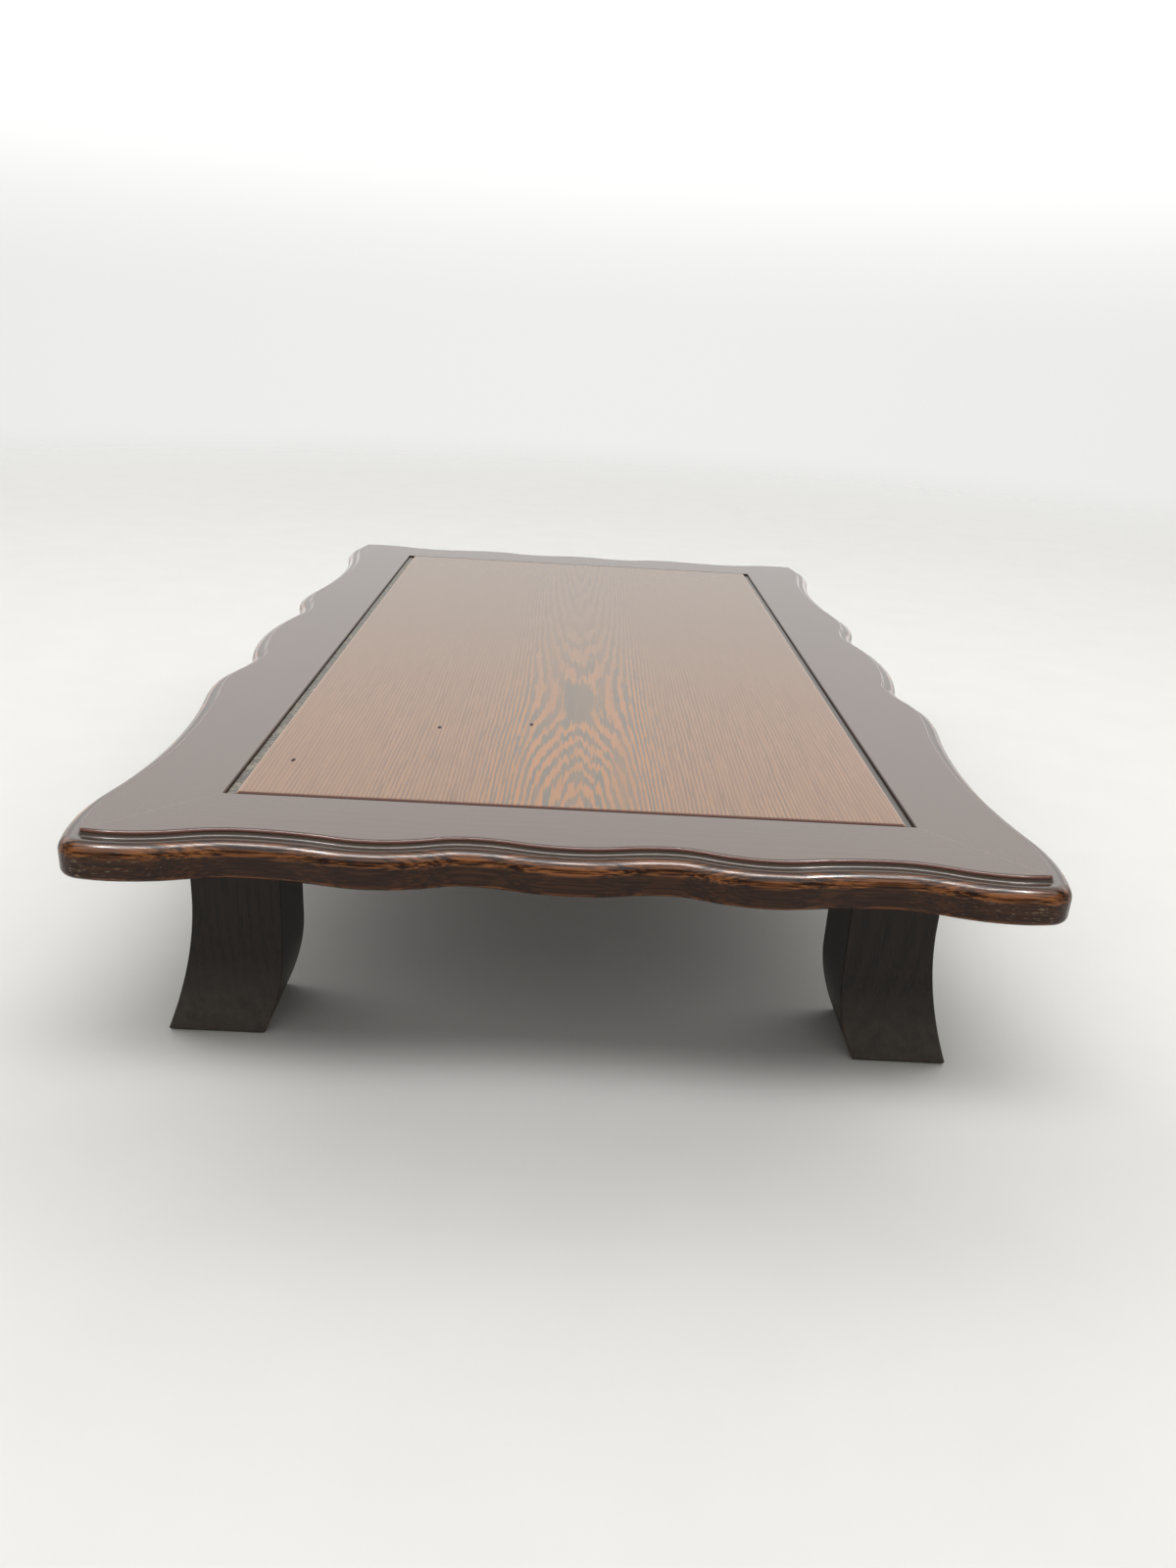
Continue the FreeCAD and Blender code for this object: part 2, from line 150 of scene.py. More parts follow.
def start_material(name: str) -> tuple[Material, NodeTree]:
    """Start a material with no nodes.

    Args:
        name: the finish's name.

    Returns:
        The material and its node tree.
    """
    material = bpy.data.materials.new(name)
    material.use_nodes = True
    material.node_tree.nodes.clear()
    return material, material.node_tree


def finish_material(material: Material, links: dict[str, Any]) -> Material:
    """Give a material its shader.

    Args:
        material: a material with the nodes that the shader reads.
        links: the shader's inputs, as in add_node.

    Returns:
        The same material.
    """
    shader = add_node(material.node_tree, "ShaderNodeBsdfPrincipled", links=links)
    add_node(material.node_tree, "ShaderNodeOutputMaterial", links={"Surface": shader.outputs["BSDF"]})
    return material


def millimetres(tree: NodeTree) -> NodeSocket:
    """Give the piece's own coordinates in millimetres."""
    place = add_node(tree, "ShaderNodeTexCoord").outputs["Object"]
    return add_node(tree, VECTOR_MATH, {"operation": "SCALE"}, {0: place, "Scale": MM_PER_METRE}).outputs[0]


def off_line(tree: NodeTree, place: NodeSocket, line: float) -> NodeSocket:
    """Measure how far each point lies to either side of a line along the table.

    Args:
        tree: the node tree.
        place: coordinates in millimetres.
        line: where the line lies across the table.

    Returns:
        The distance in millimetres.
    """
    x = add_node(tree, SEPARATE, links={0: place}).outputs["X"]
    off = add_node(tree, MATH, SUBTRACT, {0: x, 1: line}).outputs[0]
    return add_node(tree, MATH, ABSOLUTE, {0: off}).outputs[0]


def box_of(name: str) -> tuple[Vector, Vector]:
    """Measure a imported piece.

    Args:
        name: the node's name.

    Returns:
        The lowest and the highest corner of its box, in millimetres.
    """
    points = [vertex.co * MM_PER_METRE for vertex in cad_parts[name].data.vertices]
    return Vector([*map(min, zip(*points))]), Vector([*map(max, zip(*points))])


@dataclass(frozen=True)
class Grain:
    """Growth rings cut lengthwise, with fibres that fray their edges. Sizes in millimetres."""

    axis: GrainAxis
    ring_spacing: float
    wobble: float  # how far the rings sway
    wobble_length: float
    fibre_width: float
    fibre_length: float
    fray: float  # how far the fibres move the edges of the lines
    ring_weight: float = 1.0  # how much the rings show beside the fibres
    threshold: float = 0.0  # more leaves less pale wood
    softness: float = 0.35  # of the edges of the lines
    pith: tuple[float, float] = (0.0, 0.0)  # where the rings' centre lies, across the grain
    breaks: float = 0.0  # how far the lines swell, thin out and break
    sway_slimness: float = 6.0  # length of a sway over its width
    swell_fibres: tuple[float, float] = (3.0, 2.0)  # width and length of a swell, counted in fibres
    noise_detail: float = 3.0
    noise_roughness: float = 0.55

    def stretched(self, tree: NodeTree, place: NodeSocket, width: float, length: float) -> NodeSocket:
        """Draw noise that is drawn out along the grain.

        Args:
            tree: the node tree.
            place: coordinates in millimetres.
            width: size of a mark across the grain.
            length: size of a mark along the grain.

        Returns:
            A value about NOISE_MIDDLE.
        """
        scale = [1 / width] * 3
        scale[self.axis.index] = 1 / length
        moved = add_node(tree, "ShaderNodeMapping", links={"Vector": place, "Scale": scale}).outputs[0]
        return add_node(tree, NOISE, links={"Vector": moved, "Scale": 1.0, "Detail": self.noise_detail,
                                            "Roughness": self.noise_roughness}).outputs["Fac"]

    def rings(self, tree: NodeTree, place: NodeSocket) -> NodeSocket:
        """Measure the distance from the rings' centre line.

        Args:
            tree: the node tree.
            place: coordinates in millimetres.

        Returns:
            The distance in millimetres.
        """
        centre = list(self.pith)
        centre.insert(self.axis.index, 0.0)
        across = [1.0] * 3
        across[self.axis.index] = 0.0
        from_pith = add_node(tree, VECTOR_MATH, SUBTRACT, {0: place, 1: centre}).outputs[0]
        flat = add_node(tree, VECTOR_MATH, MULTIPLY, {0: from_pith, 1: across}).outputs[0]
        return add_node(tree, VECTOR_MATH, LENGTH, {0: flat}).outputs["Value"]

    def lines(self, tree: NodeTree, place: NodeSocket,
              distance: NodeSocket) -> tuple[NodeSocket, NodeSocket]:
        """Draw the frayed lines that the rings make.

        Args:
            tree: the node tree.
            place: coordinates in millimetres.
            distance: distance from the rings' centre line, in millimetres.

        Returns:
            The lines, 0 in dark wood and 1 in pale, and the fibres alone.
        """
        sway = self.stretched(tree, place, self.wobble_length / self.sway_slimness, self.wobble_length)
        sway = add_node(tree, MATH, SUBTRACT, {0: sway, 1: NOISE_MIDDLE}).outputs[0]
        swayed = add_node(tree, MATH, MULTIPLY_ADD,
                          {0: sway, 1: self.wobble / NOISE_MIDDLE, 2: distance}).outputs[0]
        turn = add_node(tree, MATH, MULTIPLY, {0: swayed, 1: 2 * math.pi / self.ring_spacing}).outputs[0]
        wave = add_node(tree, MATH, {"operation": "SINE"}, {0: turn}).outputs[0]
        wave = add_node(tree, MATH, MULTIPLY, {0: wave, 1: self.ring_weight}).outputs[0]
        fibres = self.stretched(tree, place, self.fibre_width, self.fibre_length)
        frayed = add_node(tree, MATH, MULTIPLY_ADD, {0: fibres, 1: self.fray, 2: wave}).outputs[0]
        wide, long = self.swell_fibres
        swells = self.stretched(tree, place, wide * self.fibre_width, long * self.fibre_length)
        frayed = add_node(tree, MATH, MULTIPLY_ADD, {0: swells, 1: self.breaks, 2: frayed}).outputs[0]
        middle = (self.fray + self.breaks) * NOISE_MIDDLE + self.threshold
        sharpened = Ramp(middle - self.softness, middle + self.softness)
        lines = add_node(tree, MAP_RANGE, SMOOTH, sharpened.links(frayed)).outputs[0]
        return lines, fibres


@dataclass(frozen=True)
class FiguredBoardFinish:
    """Wenge veneer, flat sawn and lacquered: fine orange-brown and black-brown lines, an hourglass of
    arches down the middle, and a satin film that goes pale at a low angle. Painted glare greys the tones
    and fades the lines towards the back, painted shade darkens the front end, and a painted highlight lines
    the long edges. Sizes in millimetres."""

    low: Vector  # lowest corner of the board
    high: Vector  # highest corner
    pale: str = "#9A6126"
    dark: str = "#5B4E3E"
    side_pale: str = "#90643C"
    side_dark: str = "#66452C"
    # Painted glare and shade: greyer, darker tones at the back end of the board
    back_glare_pale: str = "#7F6249"
    back_glare_dark: str = "#604634"
    # Dark end grain, and painted shade along the front end
    end_grain_and_shade: str = "#4C1D0B"
    # Painted highlight along the long edges of the board
    side_highlight: str = "#9B7C66"
    pit: str = "#1E0B06"
    heart_x: float = 2.0  # line along which the arches stand
    front_arch_y: float = -134.0
    back_arch_y: float = -80.0
    arch_blend: float = 60.0  # length over which the arches ease into the waist between them
    arch_depth: float = 26.8  # of the middle of the tree under the waist
    front_slope: float = 0.2  # rise of the middle of the tree past each arch
    back_slope: float = 0.075
    pointedness: float = 1.8  # 2 gives round arches, less gives pointed ones
    side_depth: float = 14.0  # depth under the sides, where the lines run straight
    straighten: Ramp = Ramp(13.5, 52.0)  # off the heart line
    heart_spacing: float = 3.7
    side_spacing: float = 1.75  # about 1.6 on the real board, drawn wider so that it shows
    spacing_blend: float = 8.0  # width over which one spacing turns to the other
    to_sides: Ramp = Ramp(25.0, 46.0)  # off the heart line, from the heart to the fine lines
    weave: float = 1.4  # how far the lines wander from side to side
    weave_size: tuple[float, float] = (6.0, 95.0)
    jag_size: tuple[float, float] = (2.1, 60.0)
    jag_reach: Ramp = Ramp(9.0, 27.0, 36.0, 6.0)  # off the heart line, how far the jags run along the grain
    patch_y: float = -111.0  # plain dark patch at the waist
    patch_size: tuple[float, float] = (9.5, 40.0)
    patch_fray: float = 1.2
    patch_rim: Ramp = Ramp(1.3, 1.7)
    heart_glare_fade: Ramp = Ramp(-165.0, 90.0, 1.0, 0.36)  # along the board, painted glare that fades the lines towards the back
    side_glare_fade: Ramp = Ramp(-235.0, 40.0, 1.0, 0.12)  # along the board, painted glare that fades the lines towards the back
    side_fade: Ramp = Ramp(60.0, 132.3, 1.0, 0.5)  # off the heart line
    band_size: tuple[float, float] = (6.0, 160.0)  # streaks in which the lines show more or less
    band_strength: Ramp = Ramp(0.3, 0.65, 0.35, 1.1)
    even_tone: float = 0.55  # between dark and pale, where no lines show
    to_back_glare: Ramp = Ramp(-200.0, 140.0)  # along the board, from the front's tones to the back's, which are painted glare and shade: greyer and darker
    rim: Ramp = Ramp(0.02, 0.12, 0.0, 0.9)  # below the top, dark end grain
    front_shade_rim: Ramp = Ramp(2.4, 1.2, 0.0, 0.9)  # from the front end, a dark line of painted shade at the joint with the front rail
    side_highlight_rim: Ramp = Ramp(1.2, 0.6)  # from a long edge, painted highlight where the edge catches the light
    speck_size: tuple[float, float] = (0.85, 1.9)
    specks: tuple[tuple[float, float], ...] = ((-62.8, -161.8), (-20.4, -151.0), (-118.4, -213.0))
    relief: Relief = Relief(height=0.2, strength=0.08)
    roughness: Ramp = Ramp(0.0, 1.0, 0.24, 1.0)  # from lacquer to bare wood
    ior: float = 1.28

    def ring_depth(self, tree: NodeTree, place: NodeSocket, grain: Grain) -> NodeSocket:
        """Measure how deep the middle of the tree lies under each point.

        It lies deepest under the waist of the hourglass, and jags along the grain fray the arches.

        Args:
            tree: the node tree.
            place: coordinates in millimetres.
            grain: the board's grain.

        Returns:
            The depth in millimetres.
        """
        off_heart = off_line(tree, place, self.heart_x)
        jags = grain.stretched(tree, place, *self.jag_size)
        jags = add_node(tree, MATH, SUBTRACT, {0: jags, 1: NOISE_MIDDLE}).outputs[0]
        reach = add_node(tree, MAP_RANGE, SMOOTH, self.jag_reach.links(off_heart)).outputs[0]
        y = add_node(tree, SEPARATE, links={0: place}).outputs["Y"]
        along = add_node(tree, MATH, MULTIPLY_ADD, {0: jags, 1: reach, 2: y}).outputs[0]
        front = add_node(tree, MATH, SUBTRACT, {0: self.front_arch_y, 1: along}).outputs[0]
        back = add_node(tree, MATH, SUBTRACT, {0: along, 1: self.back_arch_y}).outputs[0]
        depth: Any = self.arch_depth
        for past_arch, slope in ((front, self.front_slope), (back, self.back_slope)):
            past_arch = add_node(tree, MATH, SMOOTH_MAX,
                                 {0: past_arch, 1: 0.0, 2: self.arch_blend}).outputs[0]
            depth = add_node(tree, MATH, MULTIPLY_ADD, {0: past_arch, 1: -slope, 2: depth}).outputs[0]
        depth = add_node(tree, MATH, ABSOLUTE, {0: depth}).outputs[0]
        straight = add_node(tree, MAP_RANGE, SMOOTH, self.straighten.links(off_heart)).outputs[0]
        return add_node(tree, MIX, VALUES,
                        {0: straight, VALUE_A: depth, VALUE_B: self.side_depth}).outputs[0]

    def ring_distance(self, tree: NodeTree, place: NodeSocket, grain: Grain) -> NodeSocket:
        """Measure how far each point lies from the middle of the tree, counted in heart rings.

        Args:
            tree: the node tree.
            place: coordinates in millimetres.
            grain: the board's grain.

        Returns:
            A distance in which one ring is heart_spacing wide all over.
        """
        off_heart = off_line(tree, place, self.heart_x)
        depth = self.ring_depth(tree, place, grain)
        depth = add_node(tree, MATH, POWER, {0: depth, 1: self.pointedness}).outputs[0]
        bent = add_node(tree, MATH, POWER, {0: off_heart, 1: self.pointedness}).outputs[0]
        total = add_node(tree, MATH, ADD, {0: depth, 1: bent}).outputs[0]
        radius = add_node(tree, MATH, POWER, {0: total, 1: 1 / self.pointedness}).outputs[0]
        wander = grain.stretched(tree, place, *self.weave_size)
        wander = add_node(tree, MATH, SUBTRACT, {0: wander, 1: NOISE_MIDDLE}).outputs[0]
        radius = add_node(tree, MATH, MULTIPLY_ADD,
                          {0: wander, 1: self.weave / NOISE_MIDDLE, 2: radius}).outputs[0]
        beyond = add_node(tree, MATH, SUBTRACT, {0: off_heart, 1: self.to_sides.start}).outputs[0]
        beyond = add_node(tree, MATH, SMOOTH_MAX, {0: beyond, 1: 0.0, 2: self.spacing_blend}).outputs[0]
        return add_node(tree, MATH, MULTIPLY_ADD,
                        {0: beyond, 1: self.heart_spacing / self.side_spacing - 1, 2: radius}).outputs[0]

    def outside_patch(self, tree: NodeTree, place: NodeSocket, fibres: NodeSocket) -> NodeSocket:
        """Draw the ragged plain patch at the waist.

        Args:
            tree: the node tree.
            place: coordinates in millimetres.
            fibres: the board's fibres.

        Returns:
            0 in the patch and 1 outside it.
        """
        wide, long = self.patch_size
        size = (1 / wide, 1 / long, 0.0)
        shift = (-self.heart_x / wide, -self.patch_y / long, 0.0)
        around = add_node(tree, VECTOR_MATH, MULTIPLY_ADD, {0: place, 1: size, 2: shift}).outputs[0]
        away = add_node(tree, VECTOR_MATH, LENGTH, {0: around}).outputs["Value"]
        ragged = add_node(tree, MATH, MULTIPLY_ADD, {0: fibres, 1: self.patch_fray, 2: away}).outputs[0]
        return add_node(tree, MAP_RANGE, SMOOTH, self.patch_rim.links(ragged)).outputs[0]

    def line_strength(self, tree: NodeTree, place: NodeSocket, grain: Grain) -> NodeSocket:
        """Work out how clearly the lines show, most at the front of the heart, fading towards the back as
        painted glare.

        Args:
            tree: the node tree.
            place: coordinates in millimetres.
            grain: the board's grain.

        Returns:
            0 where the wood looks even and 1 where the lines show in full.
        """
        off_heart = off_line(tree, place, self.heart_x)
        y = add_node(tree, SEPARATE, links={0: place}).outputs["Y"]
        side = add_node(tree, MAP_RANGE, SMOOTH, self.to_sides.links(off_heart)).outputs[0]
        in_heart = add_node(tree, MAP_RANGE, SMOOTH, self.heart_glare_fade.links(y)).outputs[0]
        at_sides = add_node(tree, MAP_RANGE, SMOOTH, self.side_glare_fade.links(y)).outputs[0]
        fading = add_node(tree, MAP_RANGE, links=self.side_fade.links(off_heart)).outputs[0]
        at_sides = add_node(tree, MATH, MULTIPLY, {0: at_sides, 1: fading}).outputs[0]
        strength = add_node(tree, MIX, VALUES, {0: side, VALUE_A: in_heart, VALUE_B: at_sides}).outputs[0]
        bands = grain.stretched(tree, place, *self.band_size)
        bands = add_node(tree, MAP_RANGE, links=self.band_strength.links(bands)).outputs[0]
        return add_node(tree, MATH, {**MULTIPLY, "use_clamp": True}, {0: strength, 1: bands}).outputs[0]

    def figure(self, tree: NodeTree, place: NodeSocket) -> tuple[NodeSocket, NodeSocket]:
        """Draw the lines of the board, with the plain dark patch at the waist.

        Args:
            tree: the node tree.
            place: coordinates in millimetres.

        Returns:
            The colour of the wood, and the fibres alone.
        """
        grain = Grain(GrainAxis.ALONG, ring_spacing=self.heart_spacing, wobble=3.4, wobble_length=130.0,
                      fibre_width=0.9, fibre_length=18.0, fray=3.6, softness=0.6, breaks=4.0)
        lines, fibres = grain.lines(tree, place, self.ring_distance(tree, place, grain))
        outside = self.outside_patch(tree, place, fibres)
        lines = add_node(tree, MATH, MULTIPLY, {0: lines, 1: outside}).outputs[0]
        strength = self.line_strength(tree, place, grain)
        lines = add_node(tree, MIX, VALUES,
                         {0: strength, VALUE_A: self.even_tone, VALUE_B: lines}).outputs[0]
        off_heart = off_line(tree, place, self.heart_x)
        side = add_node(tree, MAP_RANGE, SMOOTH, self.to_sides.links(off_heart)).outputs[0]
        y = add_node(tree, SEPARATE, links={0: place}).outputs["Y"]
        # Painted glare and shade: the tones turn greyer and darker towards the back
        into_glare = add_node(tree, MAP_RANGE, SMOOTH, self.to_back_glare.links(y)).outputs[0]
        tones = []
        for heart_tone, side_tone, glare_tone in ((self.dark, self.side_dark, self.back_glare_dark),
                                                 (self.pale, self.side_pale, self.back_glare_pale)):
            tone = add_node(tree, MIX, COLOURS,
                            {0: side, COLOUR_A: linear(heart_tone), COLOUR_B: linear(side_tone)})
            tone = add_node(tree, MIX, COLOURS,
                            {0: into_glare, COLOUR_A: tone.outputs[COLOUR_OUT], COLOUR_B: linear(glare_tone)})
            tones.append(tone.outputs[COLOUR_OUT])
        wood = add_node(tree, MIX, COLOURS, {0: lines, COLOUR_A: tones[0], COLOUR_B: tones[1]})
        return wood.outputs[COLOUR_OUT], fibres

    def speck_mask(self, tree: NodeTree, place: NodeSocket) -> NodeSocket:
        """Draw the few tiny dark pits in the lacquer.

        Args:
            tree: the node tree.
            place: coordinates in millimetres.

        Returns:
            1 inside a pit and 0 elsewhere.
        """
        wide, long = self.speck_size
        flat = add_node(tree, VECTOR_MATH, MULTIPLY, {0: place, 1: (1 / wide, 1 / long, 0.0)}).outputs[0]
        mask: Any = 0.0
        for x, y in self.specks:
            away = add_node(tree, VECTOR_MATH, {"operation": "DISTANCE"},
                            {0: flat, 1: (x / wide, y / long, 0.0)}).outputs["Value"]
            inside = add_node(tree, MATH, LESS_THAN, {0: away, 1: 1.0}).outputs[0]
            mask = add_node(tree, MATH, MAXIMUM, {0: inside, 1: mask}).outputs[0]
        return mask

    def material(self) -> Material:
        """Make the material.

        Returns:
            The finish of the figured board.
        """
        material, tree = start_material("wenge_veneer_satin_lacquer")
        place = millimetres(tree)
        wood, fibres = self.figure(tree, place)
        split = add_node(tree, SEPARATE, links={0: place})
        depth = add_node(tree, MATH, SUBTRACT, {0: self.high.z, 1: split.outputs["Z"]}).outputs[0]
        rim = add_node(tree, MAP_RANGE, SMOOTH, self.rim.links(depth)).outputs[0]
        from_end = add_node(tree, MATH, SUBTRACT, {0: split.outputs["Y"], 1: self.low.y}).outputs[0]
        # Painted shade: a dark line along the front end of the board
        end = add_node(tree, MAP_RANGE, SMOOTH, self.front_shade_rim.links(from_end)).outputs[0]
        rim = add_node(tree, MATH, MAXIMUM, {0: rim, 1: end}).outputs[0]
        off_middle = off_line(tree, place, (self.low.x + self.high.x) / 2)
        from_side = add_node(tree, MATH, SUBTRACT,
                             {0: (self.high.x - self.low.x) / 2, 1: off_middle}).outputs[0]
        # Painted highlight along the long edges of the board
        rubbed_and_highlit = add_node(tree, MAP_RANGE, SMOOTH, self.side_highlight_rim.links(from_side)).outputs[0]
        pits = self.speck_mask(tree, place)
        colour = wood
        for mask, shade in ((rim, self.end_grain_and_shade), (rubbed_and_highlit, self.side_highlight), (pits, self.pit)):
            colour = add_node(tree, MIX, COLOURS,
                              {0: mask, COLOUR_A: colour, COLOUR_B: linear(shade)}).outputs[COLOUR_OUT]
        bare = add_node(tree, MATH, MAXIMUM, {0: pits, 1: end}).outputs[0]
        rough = add_node(tree, MAP_RANGE, links=self.roughness.links(bare)).outputs[0]
        bump = add_node(tree, "ShaderNodeBump", links=self.relief.links(fibres)).outputs[0]
        return finish_material(material, {"Base Color": colour, "Roughness": rough, "Normal": bump,
                                          "IOR": self.ior})


@dataclass(frozen=True)
class FrameFinish:
    """Wenge stained dark and lacquered: near-black brown with orange-brown streaks where the moulding
    cuts through the rings, almost even on the flat top, bare and dull underneath. Painted reflection draws
    a grey band in the hollow and a paler, reddish outer arris. Sizes in millimetres."""

    axis: GrainAxis
    top: float  # height of the flat top
    thickness: float
    mitre_offset: float  # half length less half width of the opening
    dark: str = "#281206"
    streak: str = "#9C6136"
    # Painted reflection: a grey band in the hollow
    hollow_reflection: str = "#695D53"
    flat_dark: str = "#482F22"
    flat_streak: str = "#4D3324"
    # Painted reflection: the outer arris drawn paler and reddish
    arris_reflection: str = "#74483B"
    scuff: str = "#75654F"
    joint: str = "#5C4637"
    bare: str = "#3B2C21"
    mitre_width: float = 0.3
    outer_from: tuple[float, float] = (155.0, 265.0)  # across and along, clear of the opening
    # Masks over the depth below the top
    flat_mask: Ramp = Ramp(0.3, 0.03)
    arris_reflection_mask: Ramp = Ramp(1.1, 0.8)
    reflection_head: Ramp = Ramp(1.1, 1.6, 0.0, 0.6)  # where the painted reflection in the hollow starts
    reflection_foot: Ramp = Ramp(2.8, 2.6)  # and where it ends
    streaks_above: Ramp = Ramp(3.3, 2.7, 1.0, 0.15)  # faint above the large rounding
    streaks_middle: Ramp = Ramp(8.4, 7.0, 0.14, 1.0)  # full on it, faint on the upright face
    streaks_below: Ramp = Ramp(14.4, 15.4, 0.0, 0.55)  # back on the rounded lower edge
    # Flecks, which come thicker low down and towards the corners
    fleck_size: tuple[float, float] = (0.8, 3.6)
    fleck_depth: Ramp = Ramp(1.8, 7.8)  # below the top
    fleck_sides: Ramp = Ramp(95.0, 165.0)  # across from the middle
    fleck_ends: Ramp = Ramp(210.0, 285.0)  # along from the middle
    fleck_gain: float = 0.11
    fleck_rim: Ramp = Ramp(0.69, 0.79)
    relief: Relief = Relief(height=0.2, strength=0.03)
    roughness: Ramp = Ramp(0.0, 1.0, 0.16, 0.6)  # from lacquer to bare wood
    ior: float = 1.32

    def mitre_line(self, tree: NodeTree, place: NodeSocket) -> NodeSocket:
        """Draw the hairline of the mitres.

        Args:
            tree: the node tree.
            place: coordinates in millimetres.

        Returns:
            1 on the line and 0 elsewhere.
        """
        quarter = add_node(tree, VECTOR_MATH, ABSOLUTE, {0: place}).outputs[0]
        split = add_node(tree, SEPARATE, links={0: quarter})
        off = add_node(tree, MATH, SUBTRACT, {0: split.outputs["Y"], 1: split.outputs["X"]}).outputs[0]
        return add_node(tree, MATH, {"operation": "COMPARE"},
                        {0: off, 1: self.mitre_offset, 2: self.mitre_width}).outputs[0]

    def outer_side(self, tree: NodeTree, place: NodeSocket) -> NodeSocket:
        """Find the outside of the frame.

        Args:
            tree: the node tree.
            place: coordinates in millimetres.

        Returns:
            0 next to the opening and 1 further out.
        """
        across, along = self.outer_from
        quarter = add_node(tree, VECTOR_MATH, ABSOLUTE, {0: place}).outputs[0]
        split = add_node(tree, SEPARATE, links={0: quarter})
        side = add_node(tree, MATH, GREATER_THAN, {0: split.outputs["X"], 1: across}).outputs[0]
        end = add_node(tree, MATH, GREATER_THAN, {0: split.outputs["Y"], 1: along}).outputs[0]
        return add_node(tree, MATH, MAXIMUM, {0: side, 1: end}).outputs[0]

    def scuffs(self, tree: NodeTree, place: NodeSocket, depth: NodeSocket, grain: Grain) -> NodeSocket:
        """Draw pale flecks where the moulding was knocked, mostly near the corners.

        Args:
            tree: the node tree.
            place: coordinates in millimetres.
            depth: how far each point lies below the top, in millimetres.
            grain: the rail's grain.

        Returns:
            1 in a fleck and 0 elsewhere.
        """
        flecks = grain.stretched(tree, place, *self.fleck_size)
        quarter = add_node(tree, VECTOR_MATH, ABSOLUTE, {0: place}).outputs[0]
        split = add_node(tree, SEPARATE, links={0: quarter})
        weight = add_node(tree, MAP_RANGE, links=self.fleck_depth.links(depth)).outputs[0]
        for ramp, axis in ((self.fleck_sides, "X"), (self.fleck_ends, "Y")):
            near = add_node(tree, MAP_RANGE, links=ramp.links(split.outputs[axis])).outputs[0]
            weight = add_node(tree, MATH, MULTIPLY, {0: weight, 1: near}).outputs[0]
        raised = add_node(tree, MATH, MULTIPLY_ADD, {0: weight, 1: self.fleck_gain, 2: flecks}).outputs[0]
        marks = add_node(tree, MAP_RANGE, SMOOTH, self.fleck_rim.links(raised)).outputs[0]
        return add_node(tree, MATH, MULTIPLY, {0: marks, 1: weight}).outputs[0]

    def material(self) -> Material:
        """Make the material.

        Returns:
            The finish for rails whose grain runs along the axis.
        """
        material, tree = start_material("stained_wenge_lacquered_" + self.axis.value.lower())
        place = millimetres(tree)
        grain = Grain(self.axis, ring_spacing=4.6, wobble=3.0, wobble_length=140.0, fibre_width=0.8,
                      fibre_length=60.0, fray=6.0, ring_weight=0.3, threshold=0.25, softness=1.0,
                      pith=(-31.0, 40.0))
        lines, fibres = grain.lines(tree, place, grain.rings(tree, place))
        height = add_node(tree, SEPARATE, links={0: place}).outputs["Z"]
        depth = add_node(tree, MATH, SUBTRACT, {0: self.top, 1: height}).outputs[0]
        flat, arris_reflection, head, foot, above, middle, lower = [
            add_node(tree, MAP_RANGE, SMOOTH, ramp.links(depth)).outputs[0]
            for ramp in (self.flat_mask, self.arris_reflection_mask, self.reflection_head, self.reflection_foot,
                         self.streaks_above, self.streaks_middle, self.streaks_below)]
        rubbed_and_highlit = add_node(tree, MATH, MAXIMUM, {0: middle, 1: lower}).outputs[0]
        streaks = add_node(tree, MATH, MULTIPLY, {0: lines, 1: rubbed_and_highlit}).outputs[0]
        streaks = add_node(tree, MATH, MULTIPLY, {0: streaks, 1: above}).outputs[0]
        # Painted reflection in the hollow: a grey band
        dust_and_sheen = add_node(tree, MATH, MULTIPLY, {0: head, 1: foot}).outputs[0]
        outer = self.outer_side(tree, place)
        # Painted reflection, on the outer arris only
        arris_reflection = add_node(tree, MATH, MULTIPLY, {0: arris_reflection, 1: outer}).outputs[0]
        even = add_node(tree, MIX, COLOURS,
                        {0: lines, COLOUR_A: linear(self.flat_dark), COLOUR_B: linear(self.flat_streak)})
        joined = add_node(tree, MIX, COLOURS,
                          {0: self.mitre_line(tree, place), COLOUR_A: even.outputs[COLOUR_OUT],
                           COLOUR_B: linear(self.joint)}).outputs[COLOUR_OUT]
        knocked = self.scuffs(tree, place, depth, grain)
        under = add_node(tree, MATH, GREATER_THAN, {0: depth, 1: self.thickness - SKIN}).outputs[0]
        colour: Any = linear(self.dark)
        for mask, layer in ((streaks, linear(self.streak)), (dust_and_sheen, linear(self.hollow_reflection)),
                            (arris_reflection, linear(self.arris_reflection)), (flat, joined), (knocked, linear(self.scuff)),
                            (under, linear(self.bare))):
            colour = add_node(tree, MIX, COLOURS,
                              {0: mask, COLOUR_A: colour, COLOUR_B: layer}).outputs[COLOUR_OUT]
        rough = add_node(tree, MAP_RANGE, links=self.roughness.links(under)).outputs[0]
        bump = add_node(tree, "ShaderNodeBump", links=self.relief.links(fibres)).outputs[0]
        return finish_material(material, {"Base Color": colour, "Roughness": rough, "Normal": bump,
                                          "IOR": self.ior})


